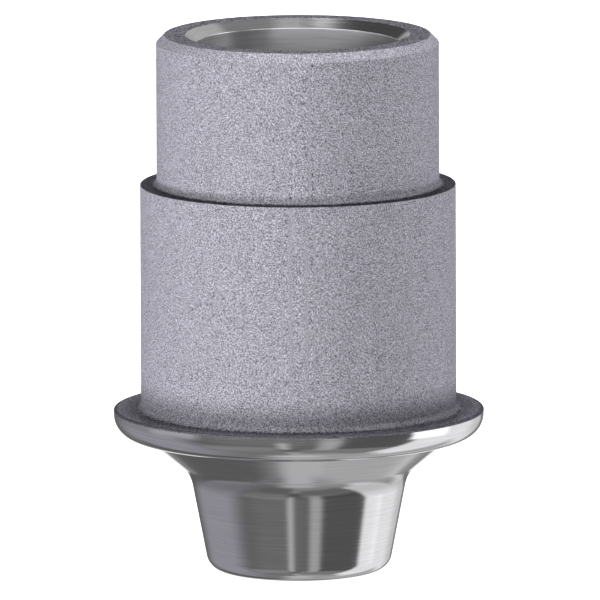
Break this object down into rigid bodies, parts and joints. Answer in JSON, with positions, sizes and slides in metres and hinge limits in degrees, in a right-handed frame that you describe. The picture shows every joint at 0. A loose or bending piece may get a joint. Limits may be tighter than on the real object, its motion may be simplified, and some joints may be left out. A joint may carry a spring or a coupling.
{
  "type": "dental abutment",
  "caption": "One-piece titanium bonding base: stepped blasted post with a screw channel, polished flange, shoulder cone and short tapered foot.",
  "frame": {"origin": "centre of the foot's flat resting face, on the axis of revolution", "axes": "+Z along the axis, from the foot towards the rim of the post; X and Y are any pair across it, because the part is turned"},
  "size_m": [0.0054, 0.0054, 0.0079],
  "materials": {
    "titanium": "post blasted matt grey, flange underside, cone and foot polished bright, channel reamed"
  },
  "bodies": {
    "root": {"titanium_base": "titanium"}
  },
  "joints": []
}
